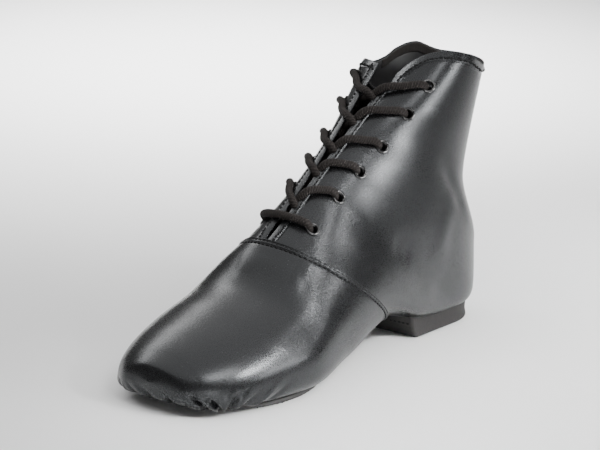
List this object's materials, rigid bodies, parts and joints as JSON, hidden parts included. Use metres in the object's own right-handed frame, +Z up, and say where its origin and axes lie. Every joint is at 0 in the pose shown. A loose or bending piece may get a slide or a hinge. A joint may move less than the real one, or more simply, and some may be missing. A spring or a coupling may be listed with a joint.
{
  "type": "dance shoe",
  "caption": "Soft leather lace-up jazz ankle boot with a split rubber sole and a low heel block, a left shoe that stands empty and upright.",
  "frame": {"origin": "on the floor, under the middle of the shoe's bounding box", "axes": "+X from heel to toe, +Y to the wearer's left, which is the outer side of this left shoe, +Z up"},
  "size_m": [0.2518, 0.0886, 0.1475],
  "materials": {
    "leather": "black, fine grain, semi-gloss",
    "lining": "black, woven, matt",
    "heel_rubber": "brownish black, moulded, matt",
    "sole_rubber": "dark grey, crinkled, matt",
    "eyelet_metal": "black gloss",
    "lace_cord": "black, braided, matt"
  },
  "bodies": {
    "root": {"upper": "leather", "back_stay": "leather", "tongue": "leather", "insole": "lining", "forefoot_sole": "sole_rubber", "heel": "heel_rubber", "eyelet_left_1": "eyelet_metal", "eyelet_left_2": "eyelet_metal", "eyelet_left_3": "eyelet_metal", "eyelet_left_4": "eyelet_metal", "eyelet_left_5": "eyelet_metal", "eyelet_left_6": "eyelet_metal", "eyelet_right_1": "eyelet_metal", "eyelet_right_2": "eyelet_metal", "eyelet_right_3": "eyelet_metal", "eyelet_right_4": "eyelet_metal", "eyelet_right_5": "eyelet_metal", "eyelet_right_6": "eyelet_metal", "lace_bar": "lace_cord", "lace_cross_1": "lace_cord", "lace_cross_2": "lace_cord", "lace_cross_3": "lace_cord", "lace_cross_4": "lace_cord", "lace_cross_5": "lace_cord"}
  },
  "joints": []
}
